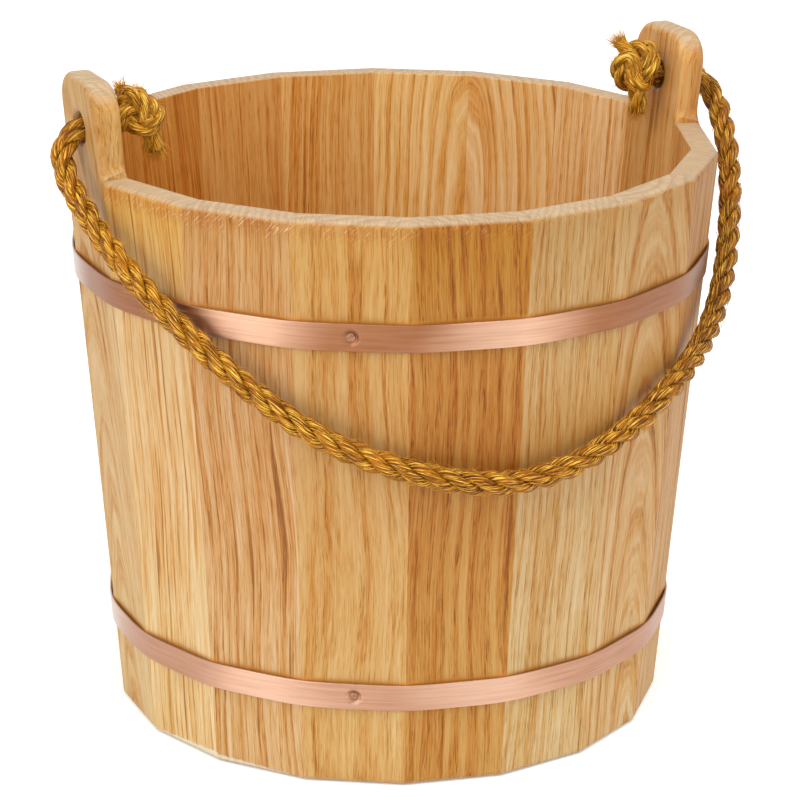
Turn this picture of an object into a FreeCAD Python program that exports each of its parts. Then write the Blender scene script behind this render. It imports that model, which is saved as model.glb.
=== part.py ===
import FreeCAD, Part
import math
import os

import Sketcher
from FreeCAD import Placement, Rotation, Vector

# Driving dimensions, in millimetres and degrees
DIMENSIONS = {
    # Ring of staves, in pairs that stand opposite each other: the radius is taken over the outer corners
    # at the rim, the splay is how much less it is at the base, and heights are taken from the ground
    "stave_pairs": 9,
    "rim_radius": 152.4,
    "splay": 21.7,
    "rim_height": 270.0,
    "stave_thickness": 12.7,
    "rim_outer_round": 3.0,
    "rim_inner_round": 0.8,
    "base_round": 3.5,
    # Floor in its groove
    "floor_height": 15.0,
    "floor_thickness": 12.7,
    "floor_boards": 3,
    "groove_depth": 5.0,
    "floor_clearance": 0.15,
    # Ears: heights are taken from the rim, and the shoulders from the stave's edges there
    "ear_height": 42.0,
    "ear_shoulder": 2.66,
    "ear_flare": 1.2,
    "ear_root_radius": 8.0,
    "ear_root_height": 6.8,
    "ear_corner_radius": 14.5,
    "ear_edge_round": 3.5,
    "rope_hole_height": 19.2,
    "rope_hole_clearance": 1.5,
    "rope_hole_round": 2.2,
    # Hoops: straps that lie on the corners of the staves
    "upper_hoop_height": 218.5,
    "lower_hoop_height": 45.5,
    "hoop_width": 12.7,
    "hoop_thickness": 0.9,
    "hoop_clearance": 0.05,
    "hoop_lap_length": 34.0,
    "hoop_lap_angle": 80.0,
    # Tack on the front of each hoop
    "tack_angle": 240.0,
    "tack_head_diameter": 4.6,
    "tack_head_height": 0.9,
    "tack_shank_diameter": 1.8,
    "tack_length": 9.0,
    # Two rivets through each lap
    "rivet_pitch": 16.0,
    "rivet_head_diameter": 6.4,
    "rivet_head_height": 1.4,
    "rivet_tail_diameter": 5.0,
    "rivet_tail_height": 0.8,
    "rivet_shank_diameter": 3.0,
    "fastener_clearance": 0.05,
    # Rope handle and its stopper knots
    "rope_diameter": 11.0,
    "knot_diameter": 28.0,
    "knot_depth": 11.0,
    "knot_rise": 2.5,
    "knot_offset": 2.0,
    "knot_tail_diameter": 7.7,
    "knot_tail_length": 24.0,
}

# Route of the rope between its knots: direction round the bucket from the front, positive towards the
# right ear, then distance from the bucket's axis, then height
ROPE_ROUTE = [
    (-90.0, 137.6, 288.6),
    (-90.0, 143.5, 288.6),
    (-90.0, 149.6, 288.4),
    (-90.0, 155.5, 285.9),
    (-89.7, 159.7, 280.6),
    (-88.6, 161.1, 273.2),
    (-86.2, 160.3, 265.4),
    (-80.0, 159.2, 253.8),
    (-71.0, 158.4, 237.6),
    (-59.5, 157.0, 217.4),
    (-47.0, 154.4, 193.4),
    (-34.0, 152.0, 171.4),
    (-20.0, 151.0, 158.4),
    (-6.0, 150.6, 149.8),
    (8.0, 150.4, 151.8),
    (22.0, 151.4, 164.2),
    (36.0, 152.2, 178.4),
    (50.0, 153.2, 188.6),
    (62.0, 157.2, 205.0),
    (71.5, 162.0, 228.4),
    (78.4, 166.0, 250.0),
    (83.0, 167.4, 263.8),
    (87.0, 168.8, 273.4),
    (89.2, 167.0, 280.2),
    (90.0, 162.2, 285.4),
    (90.0, 156.2, 288.3),
    (90.0, 149.8, 288.9),
    (90.0, 143.7, 288.6),
    (90.0, 137.6, 288.6),
]
ARC_SHARE = 0.45
KNOT_TAIL_LEAN = (0.15, -0.3, -1.0)

doc = FreeCAD.newDocument("wooden_bucket")
sheet = doc.addObject("Spreadsheet::Sheet", "Dims")
for row, (alias, number) in enumerate(DIMENSIONS.items(), start=1):
    sheet.set(f"A{row}", alias)
    sheet.set(f"B{row}", str(number))
    sheet.setAlias(f"B{row}", alias)
doc.recompute()


def value(expression):
    """Number that an expression of sheet values gives, in millimetres or degrees."""
    result = sheet.evalExpression(expression)
    return float(getattr(result, "Value", result))


# Shape of the ring, as expressions that sketches and features share
STAVES = 2 * round(value("Dims.stave_pairs"))
PITCH = 360.0 / STAVES
HALF_PITCH = f"(180 deg / {STAVES})"
CORNER_SLOPE = "(Dims.splay / Dims.rim_height)"
FACE_SLOPE = f"({CORNER_SLOPE} * cos({HALF_PITCH}))"
WALL = f"(Dims.stave_thickness / cos(atan({FACE_SLOPE})))"
EAR_TOP = "(Dims.rim_height + Dims.ear_height)"
ROPE_HOLE_HEIGHT = "(Dims.rim_height + Dims.rope_hole_height)"
STRAP_LEAN = f"atan({CORNER_SLOPE})"


def corner_radius(height):
    """Distance from the axis to the ring's outer corners at a height."""
    return f"(Dims.rim_radius - {CORNER_SLOPE} * (Dims.rim_height - {height}))"


def face_distance(height):
    """Distance from the axis to the staves' outer faces at a height."""
    return f"({corner_radius(height)} * cos({HALF_PITCH}))"


GROOVE_BOTTOM = f"({face_distance('Dims.floor_height')} - {WALL} + Dims.groove_depth)"
HALF_NECK = f"({corner_radius('Dims.rim_height')} * sin({HALF_PITCH}) - Dims.ear_shoulder)"
HALF_HEAD = f"({HALF_NECK} + Dims.ear_flare)"


# Sketch helpers
def new_sketch(body, plane_role, name):
    """Sketch on one of the body's own origin planes."""
    plane = next(feature for feature in body.Origin.OriginFeatures if feature.Role == plane_role)
    sketch = body.newObject("Sketcher::SketchObject", name)
    sketch.AttachmentSupport = [(plane, "")]
    sketch.MapMode = "FlatFace"
    return sketch


def constrain(sketch, kind, *where, to=None):
    """Adds a constraint, and ties its value to an expression if one is given."""
    if to is None:
        sketch.addConstraint(Sketcher.Constraint(kind, *where))
        return
    start = math.radians(value(to)) if kind == "Angle" else value(to)
    index = sketch.addConstraint(Sketcher.Constraint(kind, *where, start))
    sketch.setExpression(f"Constraints[{index}]", to)


def locate(sketch, line, end, across, up):
    """Ties one end of a line to a place measured from the sketch's origin."""
    if value(across) == 0:
        constrain(sketch, "PointOnObject", line, end, -2)
    else:
        constrain(sketch, "DistanceX", -1, 1, line, end, to=across)
    if value(up) == 0:
        constrain(sketch, "PointOnObject", line, end, -1)
    else:
        constrain(sketch, "DistanceY", -1, 1, line, end, to=up)


def polygon(sketch, corners):
    """Closed outline through corners that are given as pairs of expressions."""
    points = [Vector(value(across), value(up), 0) for across, up in corners]
    for start, end in zip(points, points[1:] + points[:1]):
        sketch.addGeometry(Part.LineSegment(start, end), False)
    for line, (across, up) in enumerate(corners):
        constrain(sketch, "Coincident", line, 2, (line + 1) % len(corners), 1)
        locate(sketch, line, 1, across, up)


# Feature helpers
def cut_through(body, sketch, name):
    """Cuts a sketch's outline through the whole body, to both sides of its plane."""
    before = body.Shape.Volume
    pocket = body.newObject("PartDesign::Pocket", name)
    pocket.Profile = sketch
    pocket.SideType = "Symmetric"
    pocket.Type = "ThroughAll"
    doc.recompute()
    assert body.Shape.Volume < before, f"{body.Label}: {name} cuts nothing"
    return pocket


def mirror(body, features, name):
    """Repeats features on the other side of the body's XZ plane."""
    mirrored = body.newObject("PartDesign::Mirrored", name)
    mirrored.Originals = features
    plane = next(feature for feature in body.Origin.OriginFeatures if feature.Role == "XZ_Plane")
    mirrored.MirrorPlane = (plane, [""])
    body.Tip = mirrored
    doc.recompute()


def round_edges(body, wanted, radius, name):
    """Rounds those edges of the body's present shape whose midpoint the test wants."""
    base = body.Tip
    edges = [
        f"Edge{number}"
        for number, edge in enumerate(base.Shape.Edges, start=1)
        if wanted(edge.valueAt((edge.FirstParameter + edge.LastParameter) / 2))
    ]
    assert edges, f"{body.Label}: {name} finds no edge"
    fillet = body.newObject("PartDesign::Fillet", name)
    fillet.Base = (base, edges)
    fillet.setExpression("Radius", radius)
    doc.recompute()


def close(first, second):
    return abs(first - second) < 0.01


# Staves
def stave_blank(label, top):
    """Leaning board with mitred edges and a floor groove, its outer face towards +X."""
    body = doc.addObject("PartDesign::Body", label)
    body.Label = label
    section = new_sketch(body, "XZ_Plane", f"{label}_section")
    polygon(section, [
        (face_distance("0"), "0"),
        (face_distance(top), top),
        (f"{face_distance(top)} - {WALL}", top),
        (f"{face_distance('0')} - {WALL}", "0"),
    ])
    board = body.newObject("PartDesign::Pad", f"{label}_board")
    board.Profile = section
    board.SideType = "Symmetric"
    board.setExpression("Length", f"4 * {face_distance(top)} * tan({HALF_PITCH})")
    doc.recompute()

    reach = f"(2 * {face_distance(top)})"
    mitre_outline = new_sketch(body, "XY_Plane", f"{label}_mitre_outline")
    polygon(mitre_outline, [
        ("0", "0"),
        (reach, f"{reach} * tan({HALF_PITCH})"),
        (reach, reach),
    ])
    mitre = cut_through(body, mitre_outline, f"{label}_mitre")
    mirror(body, [mitre], f"{label}_other_mitre")

    groove_outline = new_sketch(body, "XZ_Plane", f"{label}_groove_outline")
    groove_top = "(Dims.floor_height + Dims.floor_thickness + Dims.floor_clearance)"
    polygon(groove_outline, [
        (GROOVE_BOTTOM, "Dims.floor_height"),
        (GROOVE_BOTTOM, groove_top),
        (f"{GROOVE_BOTTOM} - 3 * Dims.groove_depth", groove_top),
        (f"{GROOVE_BOTTOM} - 3 * Dims.groove_depth", "Dims.floor_height"),
    ])
    cut_through(body, groove_outline, f"{label}_groove")
    base_face = value(face_distance("0"))
    round_edges(
        body,
        lambda middle: close(middle.z, 0) and close(middle.x, base_face),
        "Dims.base_round",
        f"{label}_base_round",
    )
    return body


def plain_stave(label):
    """Stave that ends at the rim."""
    body = stave_blank(label, "Dims.rim_height")
    rim = value("Dims.rim_height")
    outer = value(face_distance("Dims.rim_height"))
    inner = outer - value(WALL)
    round_edges(
        body,
        lambda middle: close(middle.z, rim) and close(middle.x, outer),
        "Dims.rim_outer_round",
        f"{label}_rim_outer_round",
    )
    round_edges(
        body,
        lambda middle: close(middle.z, rim) and close(middle.x, inner),
        "Dims.rim_inner_round",
        f"{label}_rim_inner_round",
    )
    return body


def ear_side_outline(body, label):
    """What is cut away beside the ear: a cove at its root, then a straight side that flares upwards."""
    outline = new_sketch(body, "YZ_Plane", f"{label}_side_outline")
    rim = value("Dims.rim_height")
    top = value(EAR_TOP)
    neck = value(HALF_NECK)
    head = value(HALF_HEAD)
    cove = value("Dims.ear_root_radius")
    centre = Vector(neck + cove, rim + value("Dims.ear_root_height"), 0)
    foot_angle = math.pi + math.asin((centre.y - rim) / cove)
    foot = centre + Vector(math.cos(foot_angle), math.sin(foot_angle), 0) * cove
    far = value(face_distance(EAR_TOP))
    side_start = Vector(neck, centre.y, 0)
    side_end = Vector(head, top, 0)
    outline.addGeometry(
        Part.ArcOfCircle(Part.Circle(centre, Vector(0, 0, 1), cove), math.pi, foot_angle), False
    )
    outline.addGeometry(Part.LineSegment(side_start, side_end), False)
    outline.addGeometry(Part.LineSegment(side_end, Vector(far, top, 0)), False)
    outline.addGeometry(Part.LineSegment(Vector(far, top, 0), Vector(far, rim, 0)), False)
    outline.addGeometry(Part.LineSegment(Vector(far, rim, 0), foot), False)
    constrain(outline, "Tangent", 0, 1, 1, 1)
    constrain(outline, "Coincident", 1, 2, 2, 1)
    constrain(outline, "Coincident", 2, 2, 3, 1)
    constrain(outline, "Coincident", 3, 2, 4, 1)
    constrain(outline, "Coincident", 4, 2, 0, 2)
    constrain(outline, "Radius", 0, to="Dims.ear_root_radius")
    constrain(outline, "DistanceY", -1, 1, 0, 3, to="Dims.rim_height + Dims.ear_root_height")
    constrain(outline, "DistanceX", -1, 1, 1, 1, to=HALF_NECK)
    locate(outline, 1, 2, HALF_HEAD, EAR_TOP)
    locate(outline, 2, 2, face_distance(EAR_TOP), EAR_TOP)
    locate(outline, 3, 2, face_distance(EAR_TOP), "Dims.rim_height")
    constrain(outline, "Horizontal", 4)
    return outline


def ear_stave(label):
    """Stave that goes on above the rim as a rounded ear with a rope hole."""
    body = stave_blank(label, EAR_TOP)
    side = cut_through(body, ear_side_outline(body, label), f"{label}_side")
    mirror(body, [side], f"{label}_other_side")
    rim = value("Dims.rim_height")
    top = value(EAR_TOP)
    half_head = value(HALF_HEAD)
    round_edges(
        body,
        lambda middle: close(middle.z, top) and close(abs(middle.y), half_head),
        "Dims.ear_corner_radius",
        f"{label}_corners",
    )

    hole_outline = new_sketch(body, "YZ_Plane", f"{label}_hole_outline")
    hole_centre = Vector(0, value(ROPE_HOLE_HEIGHT), 0)
    hole_radius = "Dims.rope_diameter / 2 + Dims.rope_hole_clearance"
    hole_outline.addGeometry(Part.Circle(hole_centre, Vector(0, 0, 1), value(hole_radius)), False)
    constrain(hole_outline, "Radius", 0, to=hole_radius)
    constrain(hole_outline, "PointOnObject", 0, 3, -2)
    constrain(hole_outline, "DistanceY", -1, 1, 0, 3, to=ROPE_HOLE_HEIGHT)
    cut_through(body, hole_outline, f"{label}_hole")

    def on_a_face(point):
        outer = value(face_distance(f"{point.z}"))
        return close(point.x, outer) or close(point.x, outer - value(WALL))

    def by_hole(point):
        return math.hypot(point.y, point.z - hole_centre.y) < 1.5 * value(hole_radius)

    round_edges(
        body,
        lambda middle: on_a_face(middle) and by_hole(middle),
        "Dims.rope_hole_round",
        f"{label}_hole_round",
    )
    neck_end = rim + value("Dims.ear_root_height") / 4
    round_edges(
        body,
        lambda middle: on_a_face(middle) and middle.z > neck_end and not by_hole(middle),
        "Dims.ear_edge_round",
        f"{label}_edge_round",
    )
    return body


def stand_in_ring(piece, position):
    """Turns a piece that faces +X to its place in the ring, counted from the right ear."""
    piece.Placement = Placement(Vector(0, 0, 0), Rotation(Vector(0, 0, 1), position * PITCH))
    return piece


# Fasteners
def strap_placement(height, direction, layers, along=0.0):
    """Place on a hoop's outer side, local +Z out of the strap, moved along the strap by a length."""
    lean = math.radians(value(STRAP_LEAN))
    outward = value("Dims.hoop_clearance") + layers * value("Dims.hoop_thickness")
    distance = value(corner_radius(height)) + outward * math.cos(lean)
    turn = direction + math.degrees(along / distance)
    level = value(height) - outward * math.sin(lean)
    around = Rotation(Vector(0, 0, 1), turn)
    out_of_strap = Rotation(Vector(0, 1, 0), 90.0 + math.degrees(lean))
    return Placement(around.multVec(Vector(distance, 0, level)), around.multiply(out_of_strap))


def rod(name, radius, length, placement, start=0.0):
    """Round bar that runs inwards from a strap's surface."""
    bar = doc.addObject("Part::Cylinder", name)
    bar.setExpression("Radius", radius)
    bar.setExpression("Height", length)
    inwards = Placement(Vector(0, 0, -start - value(length)), Rotation())
    bar.Placement = placement.multiply(inwards)
    return bar


def domed_head(name, diameter, height, placement):
    """Low dome that stands on a strap's surface."""
    dome = doc.addObject("Part::Ellipsoid", name)
    dome.setExpression("Radius1", height)
    dome.setExpression("Radius2", f"{diameter} / 2")
    dome.setExpression("Radius3", f"{diameter} / 2")
    dome.Angle1 = 0
    dome.Placement = placement
    return dome


def joined(name, kind, pieces):
    """Joins, groups or cuts pieces under a name of their own."""
    result = doc.addObject(f"Part::{kind}", name)
    if kind == "Compound":
        result.Links = pieces
    elif kind == "Cut":
        result.Base, result.Tool = pieces
    else:
        result.Shapes = pieces
    result.Label = name
    doc.recompute()
    return result


TACK_DIRECTION = round(value("Dims.tack_angle") / PITCH) * PITCH
LAP_DIRECTION = round(value("Dims.hoop_lap_angle") / PITCH) * PITCH
HOOP_HEIGHTS = {"upper": "Dims.upper_hoop_height", "lower": "Dims.lower_hoop_height"}


def tack(hoop, height):
    """Small nail with a low domed head."""
    place = strap_placement(height, TACK_DIRECTION, 1)
    head = domed_head(f"{hoop}_tack_head", "Dims.tack_head_diameter", "Dims.tack_head_height", place)
    shank = rod(f"{hoop}_tack_shank", "Dims.tack_shank_diameter / 2", "Dims.tack_length", place)
    return joined(f"{hoop}_tack", "MultiFuse", [head, shank])


def tack_hole(hoop, height):
    """Bore that takes a tack's shank."""
    place = strap_placement(height, TACK_DIRECTION, 1)
    radius = "Dims.tack_shank_diameter / 2 + Dims.fastener_clearance"
    return rod(f"{hoop}_tack_hole", radius, "Dims.tack_length + Dims.fastener_clearance", place)


def rivet(hoop, height, side):
    """Rivet with a domed head outside and a flat tail inside."""
    place = strap_placement(height, LAP_DIRECTION, 2, side * value("Dims.rivet_pitch / 2"))
    name = f"{hoop}_rivet_{'left' if side < 0 else 'right'}"
    grip = "2 * Dims.hoop_thickness"
    head = domed_head(f"{name}_head", "Dims.rivet_head_diameter", "Dims.rivet_head_height", place)
    shank = rod(f"{name}_shank", "Dims.rivet_shank_diameter / 2", grip, place)
    tail = rod(
        f"{name}_tail", "Dims.rivet_tail_diameter / 2", "Dims.rivet_tail_height", place, value(grip)
    )
    return joined(name, "MultiFuse", [head, shank, tail])


def rivet_seat(hoop, height, side):
    """Bore through both layers of a lap, with flats for the rivet's head and tail."""
    place = strap_placement(height, LAP_DIRECTION, 2, side * value("Dims.rivet_pitch / 2"))
    name = f"{hoop}_rivet_seat_{'left' if side < 0 else 'right'}"
    radius = "Dims.rivet_shank_diameter / 2 + Dims.fastener_clearance"
    bore = rod(f"{name}_bore", radius, "4 * Dims.hoop_thickness", place, -value("Dims.hoop_thickness"))
    spot = rod(
        f"{name}_spot",
        "Dims.rivet_tail_diameter / 2 + Dims.fastener_clearance",
        "Dims.rivet_tail_height + Dims.fastener_clearance",
        place,
        value("2 * Dims.hoop_thickness"),
    )
    return joined(name, "MultiFuse", [bore, spot])


# Hoops
def strap_section(body, height, layer, name):
    """Cross-section of one layer of strap, leaning with the corners of the staves."""
    lean = STRAP_LEAN
    gap = f"(Dims.hoop_clearance + {layer} * Dims.hoop_thickness)"
    section = new_sketch(body, "XZ_Plane", name)
    low_across = f"{corner_radius(height)} + {gap} * cos({lean}) - Dims.hoop_width / 2 * sin({lean})"
    low_up = f"{height} - {gap} * sin({lean}) - Dims.hoop_width / 2 * cos({lean})"
    start = Vector(value(low_across), value(low_up), 0)
    along = Vector(math.sin(math.radians(value(lean))), math.cos(math.radians(value(lean))), 0)
    out = Vector(along.y, -along.x, 0)
    width = along * value("Dims.hoop_width")
    thick = out * value("Dims.hoop_thickness")
    corners = [start, start + thick, start + thick + width, start + width]
    for first, second in zip(corners, corners[1:] + corners[:1]):
        section.addGeometry(Part.LineSegment(first, second), False)
    for line in range(4):
        constrain(section, "Coincident", line, 2, (line + 1) % 4, 1)
    for line in range(3):
        constrain(section, "Perpendicular", line, line + 1)
    locate(section, 0, 1, low_across, low_up)
    constrain(section, "Angle", 1, to=f"90 deg - {lean}")
    constrain(section, "Distance", 0, to="Dims.hoop_thickness")
    constrain(section, "Distance", 1, to="Dims.hoop_width")
    return section


def hoop_strap(label, height):
    """Closed strap whose ends overlap as a second layer at the back."""
    body = doc.addObject("PartDesign::Body", label)
    axis = next(feature for feature in body.Origin.OriginFeatures if feature.Role == "Z_Axis")
    ring = body.newObject("PartDesign::Revolution", f"{label}_ring")
    ring.Profile = strap_section(body, height, 0, f"{label}_ring_section")
    ring.ReferenceAxis = (axis, [""])
    ring.Angle = 360
    doc.recompute()
    lap = body.newObject("PartDesign::Revolution", f"{label}_lap")
    lap.Profile = strap_section(body, height, 1, f"{label}_lap_section")
    lap.ReferenceAxis = (axis, [""])
    lap.Midplane = True
    lap.setExpression("Angle", f"Dims.hoop_lap_length / {corner_radius(height)} * 180 deg / pi")
    doc.recompute()
    body.Placement = Placement(Vector(0, 0, 0), Rotation(Vector(0, 0, 1), LAP_DIRECTION))
    return body


# Floor
def floor_board(number, disc):
    """One straight board of the floor, shaped to the groove."""
    count = round(value("Dims.floor_boards"))
    strip = doc.addObject("Part::Box", f"floor_strip_{number}")
    across = f"(2 * {GROOVE_BOTTOM} / cos({HALF_PITCH}))"
    strip.setExpression("Length", across)
    strip.setExpression("Width", f"{across} / {count}")
    strip.setExpression("Height", "Dims.floor_thickness")
    corner = Vector(-value(across) / 2, value(across) * ((number - 1) / count - 0.5), 0)
    strip.Placement = Placement(corner + Vector(0, 0, value("Dims.floor_height")), Rotation())
    return joined(f"floor_board_{number}", "MultiCommon", [disc, strip])


# Rope
def rope_point(direction, distance, height):
    """Point of the route in the bucket's own axes."""
    angle = math.radians(direction)
    return Vector(distance * math.sin(angle), -distance * math.cos(angle), height)


def rounded_path(points):
    """Straight runs joined by tangent arcs, each as large as its two runs allow."""
    edges = []
    radii = []
    last = points[0]
    for before, corner, after in zip(points, points[1:], points[2:]):
        back = (before - corner).normalize()
        ahead = (after - corner).normalize()
        half_turn = (math.pi - back.getAngle(ahead)) / 2
        tangent = ARC_SHARE * min((before - corner).Length, (after - corner).Length)
        radius = tangent / math.tan(half_turn)
        inward = (back + ahead).normalize()
        middle = corner + inward * (radius / math.cos(half_turn) - radius)
        start = corner + back * tangent
        end = corner + ahead * tangent
        edges.append(Part.LineSegment(last, start).toShape())
        edges.append(Part.Arc(start, middle, end).toShape())
        radii.append(radius)
        last = end
    edges.append(Part.LineSegment(last, points[-1]).toShape())
    return Part.Wire(edges), radii


def rope_handle():
    """Rope from knot to knot, as one tube."""
    points = [rope_point(*place) for place in ROPE_ROUTE]
    wire, radii = rounded_path(points)
    route = doc.addObject("Part::Feature", "rope_route")
    route.Shape = wire
    section = doc.addObject("Part::Circle", "rope_section")
    section.setExpression("Radius", "Dims.rope_diameter / 2")
    section.Placement = Placement(points[0], Rotation(Vector(0, 0, 1), points[1] - points[0]))
    rope = doc.addObject("Part::Sweep", "rope_handle")
    rope.Sections = [section]
    rope.Spine = route
    rope.Solid = True
    rope.Label = "rope_handle"
    doc.recompute()
    expected = wire.Length * math.pi * value("Dims.rope_diameter / 2") ** 2
    share = rope.Shape.Volume / expected
    print(f"rope length {wire.Length:.1f} mm, volume {share:.4f} of its section's sweep")
    print("rope radii", " ".join(f"{radius:.0f}" for radius in radii))
    return rope


def rope_knot(label, end, towards_axis):
    """Stopper knot inside an ear, flat where the rope enters it, with its tail hanging down."""
    depth = value("Dims.knot_depth")
    middle = end + Vector(towards_axis * depth, -value("Dims.knot_offset"), value("Dims.knot_rise"))
    ball = doc.addObject("Part::Sphere", f"{label}_ball")
    ball.setExpression("Radius", "Dims.knot_diameter / 2")
    ball.Placement = Placement(middle, Rotation(Vector(0, 0, 1), Vector(-towards_axis, 0, 0)))
    side = value("2 * Dims.knot_diameter")
    block = doc.addObject("Part::Box", f"{label}_block")
    block.Length = side
    block.Width = side
    block.Height = side
    low = 0 if towards_axis > 0 else -side
    block.Placement = Placement(end + Vector(low, -side / 2, -side / 2), Rotation())
    trimmed = joined(f"{label}_trimmed", "MultiCommon", [ball, block])
    tail = doc.addObject("Part::Cylinder", f"{label}_tail")
    tail.setExpression("Radius", "Dims.knot_tail_diameter / 2")
    tail.setExpression("Height", "Dims.knot_tail_length")
    lean_in, lean_across, down = KNOT_TAIL_LEAN
    hang = Vector(towards_axis * lean_in, lean_across, down)
    tail.Placement = Placement(middle, Rotation(Vector(0, 0, 1), hang))
    return joined(label, "MultiFuse", [trimmed, tail])


# The bucket
tack_position = round(TACK_DIRECTION / PITCH)
tack_holes = [tack_hole(hoop, height) for hoop, height in HOOP_HEIGHTS.items()]
pieces = [stand_in_ring(ear_stave("ear_stave_right"), 0)]
pieces.append(stand_in_ring(ear_stave("ear_stave_left"), STAVES // 2))
plain_positions = [position for position in range(STAVES) if position % (STAVES // 2)]
for number, position in enumerate(plain_positions, start=1):
    label = f"stave_{number:02d}"
    if position == tack_position:
        blank = stand_in_ring(plain_stave(f"{label}_blank"), position)
        holes = joined(f"{label}_tack_holes", "MultiFuse", tack_holes)
        pieces.append(joined(label, "Cut", [blank, holes]))
    else:
        pieces.append(stand_in_ring(plain_stave(label), position))

floor_disc = doc.addObject("Part::Prism", "floor_disc")
floor_disc.Polygon = STAVES
floor_disc.setExpression("Circumradius", f"({GROOVE_BOTTOM} - Dims.floor_clearance) / cos({HALF_PITCH})")
floor_disc.setExpression("Height", "Dims.floor_thickness")
floor_disc.Placement = Placement(
    Vector(0, 0, value("Dims.floor_height")), Rotation(Vector(0, 0, 1), PITCH / 2)
)
for number in range(1, round(value("Dims.floor_boards")) + 1):
    pieces.append(floor_board(number, floor_disc))

rivets = []
for (hoop, height), hole in zip(HOOP_HEIGHTS.items(), tack_holes):
    strap = hoop_strap(f"{hoop}_hoop_strap", height)
    seats = [rivet_seat(hoop, height, side) for side in (-1, 1)]
    bores = joined(f"{hoop}_hoop_bores", "MultiFuse", seats + [hole])
    pieces.append(joined(f"{hoop}_hoop", "Cut", [strap, bores]))
    rivets += [rivet(hoop, height, side) for side in (-1, 1)]
pieces.append(joined("hoop_rivets", "Compound", rivets))
tacks = [tack(hoop, height) for hoop, height in HOOP_HEIGHTS.items()]
pieces.append(joined("hoop_tacks", "Compound", tacks))

pieces.append(rope_handle())
pieces.append(rope_knot("rope_knot_left", rope_point(*ROPE_ROUTE[0]), 1))
pieces.append(rope_knot("rope_knot_right", rope_point(*ROPE_ROUTE[-1]), -1))

# Checks, then one file for each piece
doc.recompute()
for thing in doc.Objects:
    assert not {"Invalid", "Error"} & set(thing.State), f"{thing.Label} failed: {thing.State}"
for piece in pieces:
    assert not piece.Shape.isNull(), f"{piece.Label} is empty"
    assert piece.Shape.isValid(), f"{piece.Label} is not valid"
os.makedirs("parts", exist_ok=True)
for piece in pieces:
    piece.Shape.exportStep(f"parts/{piece.Label}.step")
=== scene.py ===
import math
import random

import bmesh
import bpy
from mathutils import Matrix, Vector, noise


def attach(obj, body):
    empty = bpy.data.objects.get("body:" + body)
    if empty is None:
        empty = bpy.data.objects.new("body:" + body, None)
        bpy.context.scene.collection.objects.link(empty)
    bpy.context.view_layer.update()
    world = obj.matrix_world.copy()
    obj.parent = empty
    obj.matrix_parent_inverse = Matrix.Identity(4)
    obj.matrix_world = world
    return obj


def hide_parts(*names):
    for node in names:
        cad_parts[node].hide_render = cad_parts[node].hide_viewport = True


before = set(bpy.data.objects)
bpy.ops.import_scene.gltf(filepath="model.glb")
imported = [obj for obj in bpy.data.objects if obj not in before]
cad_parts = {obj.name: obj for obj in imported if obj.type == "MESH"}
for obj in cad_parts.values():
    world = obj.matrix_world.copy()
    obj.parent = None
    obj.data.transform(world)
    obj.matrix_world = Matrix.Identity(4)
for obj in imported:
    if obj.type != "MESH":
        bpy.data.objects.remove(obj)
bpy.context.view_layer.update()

MM = 0.001
UV_NAME = "UVMap"
scene = bpy.context.scene
scene.view_settings.view_transform = "Standard"

# Sizes of the bucket, in metres and radians, as the frame has them
STAVES = 18
PITCH = 2 * math.pi / STAVES
RIM_RADIUS = 152.4 * MM
SPLAY = 21.7 * MM
RIM_HEIGHT = 270 * MM
CORNER_SLOPE = SPLAY / RIM_HEIGHT
CORNER_LEAN = math.atan(CORNER_SLOPE)
FACE_LEAN = math.atan(CORNER_SLOPE * math.cos(PITCH / 2))
HOOPS = {"upper_hoop": 218.5 * MM, "lower_hoop": 45.5 * MM}
HOOP_WIDTH = 12.7 * MM
HOOP_THICKNESS = 0.9 * MM
HOOP_GAP = 0.05 * MM
LAP_ANGLE = math.radians(80)
LAP_LENGTH = 34 * MM
TACK_ANGLE = math.radians(240)

ROPE_DIAMETER = 11 * MM
ROPE_LAY = 36 * MM
YARN_LAY = 30 * MM
# Route of the rope between its knots: direction round the bucket from the front, positive towards the
# right ear, in degrees, then distance from the bucket's axis, then height, in millimetres
ROPE_ROUTE = [
    (-90.0, 137.6, 288.6),
    (-90.0, 143.5, 288.6),
    (-90.0, 149.6, 288.4),
    (-90.0, 155.5, 285.9),
    (-89.7, 159.7, 280.6),
    (-88.6, 161.1, 273.2),
    (-86.2, 160.3, 265.4),
    (-80.0, 159.2, 253.8),
    (-71.0, 158.4, 237.6),
    (-59.5, 157.0, 217.4),
    (-47.0, 154.4, 193.4),
    (-34.0, 152.0, 171.4),
    (-20.0, 151.0, 158.4),
    (-6.0, 150.6, 149.8),
    (8.0, 150.4, 151.8),
    (22.0, 151.4, 164.2),
    (36.0, 152.2, 178.4),
    (50.0, 153.2, 188.6),
    (62.0, 157.2, 205.0),
    (71.5, 162.0, 228.4),
    (78.4, 166.0, 250.0),
    (83.0, 167.4, 263.8),
    (87.0, 168.8, 273.4),
    (89.2, 167.0, 280.2),
    (90.0, 162.2, 285.4),
    (90.0, 156.2, 288.3),
    (90.0, 149.8, 288.9),
    (90.0, 143.7, 288.6),
    (90.0, 137.6, 288.6),
]


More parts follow.
